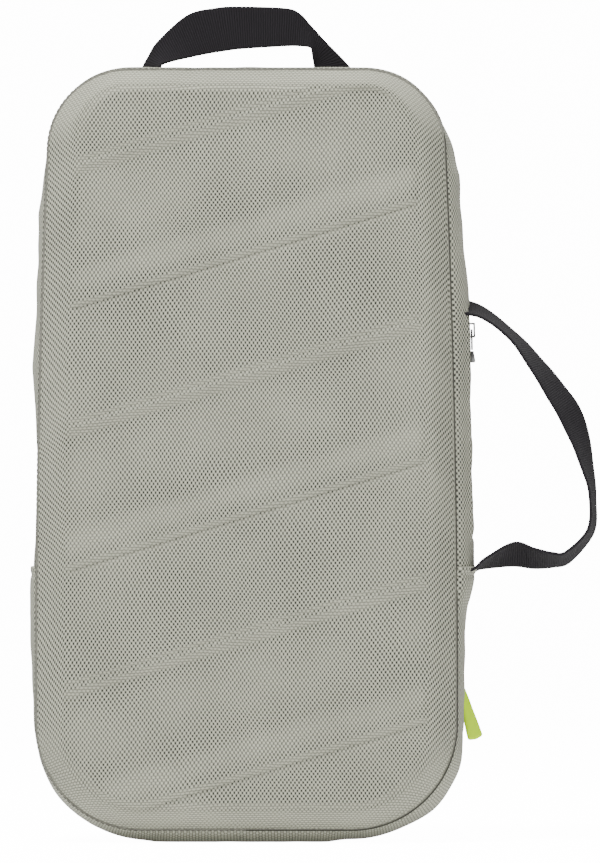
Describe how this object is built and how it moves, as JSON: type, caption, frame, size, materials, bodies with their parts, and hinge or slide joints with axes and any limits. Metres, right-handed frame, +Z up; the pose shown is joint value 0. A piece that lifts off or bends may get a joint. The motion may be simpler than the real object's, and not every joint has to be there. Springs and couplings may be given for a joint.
{
  "type": "launch monitor carrying case",
  "caption": "Semi-rigid zipped carrying case for a slab-shaped launch monitor: moulded fabric panels, soft side walls, foam insert, side pocket and webbing handles.",
  "frame": {"origin": "centre of the flat strip under the lower side wall, on which the case stands", "axes": "+Z up the case, -Y out of the back panel, +Y out of the lid, +X to the side with the pocket and the side handle"},
  "size_m": [0.3386, 0.1041, 0.503],
  "materials": {
    "back_shell": "grey-green woven nylon moulded over stiff foam",
    "lid_shell": "grey-green woven nylon moulded over stiff foam",
    "upper_gusset": "grey-green woven nylon, soft",
    "lower_gusset": "grey-green woven nylon, soft",
    "lid_side_band": "grey-green woven nylon, soft",
    "webbing": "charcoal flat nylon webbing with fine cross ribs",
    "tape": "dark grey woven zip tape",
    "coil": "dark nylon coil",
    "binding": "black bias binding",
    "lining": "dark knitted lining",
    "foam": "soft closed-cell foam with a brushed fabric face",
    "metal": "silver-grey die-cast zip hardware",
    "neon": "bright yellow-green moulded soft rubber",
    "pocket": "thin dark pocket lining",
    "mesh": "black stretch mesh"
  },
  "bodies": {
    "case": {"back_shell": "back_shell", "back_lining": "lining", "back_seam_binding": "binding", "upper_gusset": "upper_gusset", "lower_gusset": "lower_gusset", "base_zip_tape": "tape", "base_zip_coil": "coil", "base_hinge_strip": "tape", "foam_insert": "foam", "pocket_bag": "pocket", "pocket_zip_tape_front": "tape", "pocket_zip_tape_rear": "tape", "pocket_zip_coil_front": "coil", "pocket_zip_coil_rear": "coil", "pocket_zip_garage": "tape", "top_handle_end_left": "webbing", "top_handle_end_right": "webbing", "side_handle_end_upper": "webbing", "side_handle_end_lower": "webbing"},
    "lid": {"lid_shell": "lid_shell", "lid_lining": "lining", "lid_seam_binding": "binding", "lid_side_band": "lid_side_band", "lid_zip_tape": "tape", "lid_zip_coil": "coil", "lid_hinge_strip": "tape", "lid_foam_pad": "foam", "mesh_pocket": "mesh", "mesh_pocket_elastic": "binding"},
    "upper_zip_slider": {"main_slider_upper": "metal"},
    "upper_zip_pull": {"upper_pull_link": "metal", "upper_pull_tab": "neon"},
    "lower_zip_slider": {"main_slider_lower": "metal"},
    "lower_zip_pull": {"lower_pull_link": "metal", "lower_pull_tab": "neon"},
    "pocket_zip_slider": {"pocket_slider": "metal"},
    "pocket_zip_pull": {"pocket_pull_link": "metal", "pocket_pull_tab": "metal"},
    "top_grip": {"top_handle": "webbing"},
    "side_grip": {"side_handle": "webbing"}
  },
  "joints": [
    {"name": "lid_hinge", "type": "hinge", "parent": "case", "child": "lid", "pos_m": [-0.11987, 0.02875, 0.236], "axis": [0.0203, 0, 0.9998], "range_deg": [0, 140]},
    {"name": "upper_zip_run", "type": "slide", "parent": "case", "child": "upper_zip_slider", "axis": [-0.0203, 0, 0.9998], "range_m": [0, 0.288]},
    {"name": "lower_zip_run", "type": "slide", "parent": "case", "child": "lower_zip_slider", "axis": [0.0203, 0, -0.9998], "range_m": [0, 0.005]},
    {"name": "upper_pull_turn", "type": "hinge", "parent": "upper_zip_slider", "child": "upper_zip_pull", "pos_m": [0.12556, 0.02875, 0.11108], "axis": [0, -1, 0], "range_deg": [0, 110]},
    {"name": "lower_pull_turn", "type": "hinge", "parent": "lower_zip_slider", "child": "lower_zip_pull", "pos_m": [0.12606, 0.02875, 0.08658], "axis": [0, -1, 0], "range_deg": [0, 130]},
    {"name": "pocket_zip_run", "type": "slide", "parent": "case", "child": "pocket_zip_slider", "axis": [0.0203, 0, -0.9998], "range_m": [0, 0.09]},
    {"name": "pocket_pull_turn", "type": "hinge", "parent": "pocket_zip_slider", "child": "pocket_zip_pull", "pos_m": [0.13565, 0, 0.30857], "axis": [0, -1, 0], "range_deg": [0, 80]},
    {"name": "top_handle_swing", "type": "hinge", "parent": "case", "child": "top_grip", "pos_m": [-0.0039, 0, 0.469], "axis": [1, 0, 0], "range_deg": [-75, 75], "stiffness_Nm_per_rad": 0.02, "deforming": ["top_handle_end_left", "top_handle_end_right"]},
    {"name": "side_handle_swing", "type": "hinge", "parent": "case", "child": "side_grip", "pos_m": [0.15196, 0, 0.24404], "axis": [-0.0203, 0, 0.9998], "range_deg": [-70, 70], "stiffness_Nm_per_rad": 0.01, "deforming": ["side_handle_end_upper", "side_handle_end_lower"]}
  ]
}
